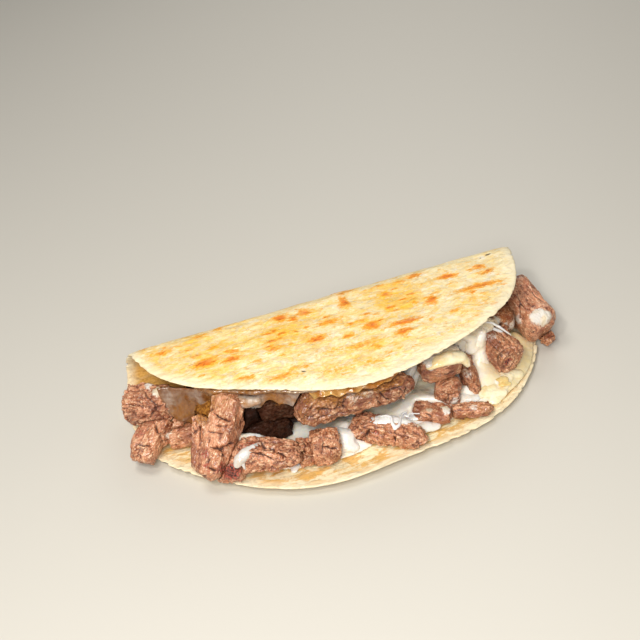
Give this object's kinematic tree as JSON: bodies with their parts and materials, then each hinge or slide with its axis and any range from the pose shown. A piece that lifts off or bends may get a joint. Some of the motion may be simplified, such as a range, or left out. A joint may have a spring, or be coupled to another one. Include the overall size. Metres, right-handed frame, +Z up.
{
  "type": "steak quesadilla",
  "caption": "Flour tortilla folded in half over strips of grilled steak and melted white cheese that spill out along the open side.",
  "frame": {"origin": "on the flat underside of the folded tortilla, near its middle", "axes": "+X runs along the fold, to the right as seen from the open side; +Y from the open side to the fold; +Z up"},
  "size_m": [0.2077, 0.0995, 0.0383],
  "materials": {
    "toasted_tortilla": "dry flour dough with toasted spots",
    "grilled_steak": "moist grilled meat, satin",
    "melted_cheese": "wet, glossy"
  },
  "bodies": {
    "root": {"tortilla": "toasted_tortilla", "cheese_pool": "melted_cheese", "cheese_roof": "melted_cheese", "steak_filling": "grilled_steak", "steak_long_top": "grilled_steak", "steak_tall_left": "grilled_steak", "steak_left_upper": "grilled_steak", "steak_left_lower": "grilled_steak", "steak_left_flap": "grilled_steak", "steak_left_small": "grilled_steak", "steak_tall_side": "grilled_steak", "steak_charred_tip": "grilled_steak", "steak_front_wedge": "grilled_steak", "steak_front_sliver": "grilled_steak", "steak_front_cube": "grilled_steak", "steak_back_low": "grilled_steak", "steak_back_high": "grilled_steak", "steak_middle_tail": "grilled_steak", "steak_right_flat": "grilled_steak", "steak_right_scrap": "grilled_steak", "steak_right_cube": "grilled_steak", "steak_right_capped": "grilled_steak", "steak_right_strip": "grilled_steak", "steak_right_end": "grilled_steak", "steak_far_right": "grilled_steak", "steak_far_scrap": "grilled_steak"}
  },
  "joints": []
}
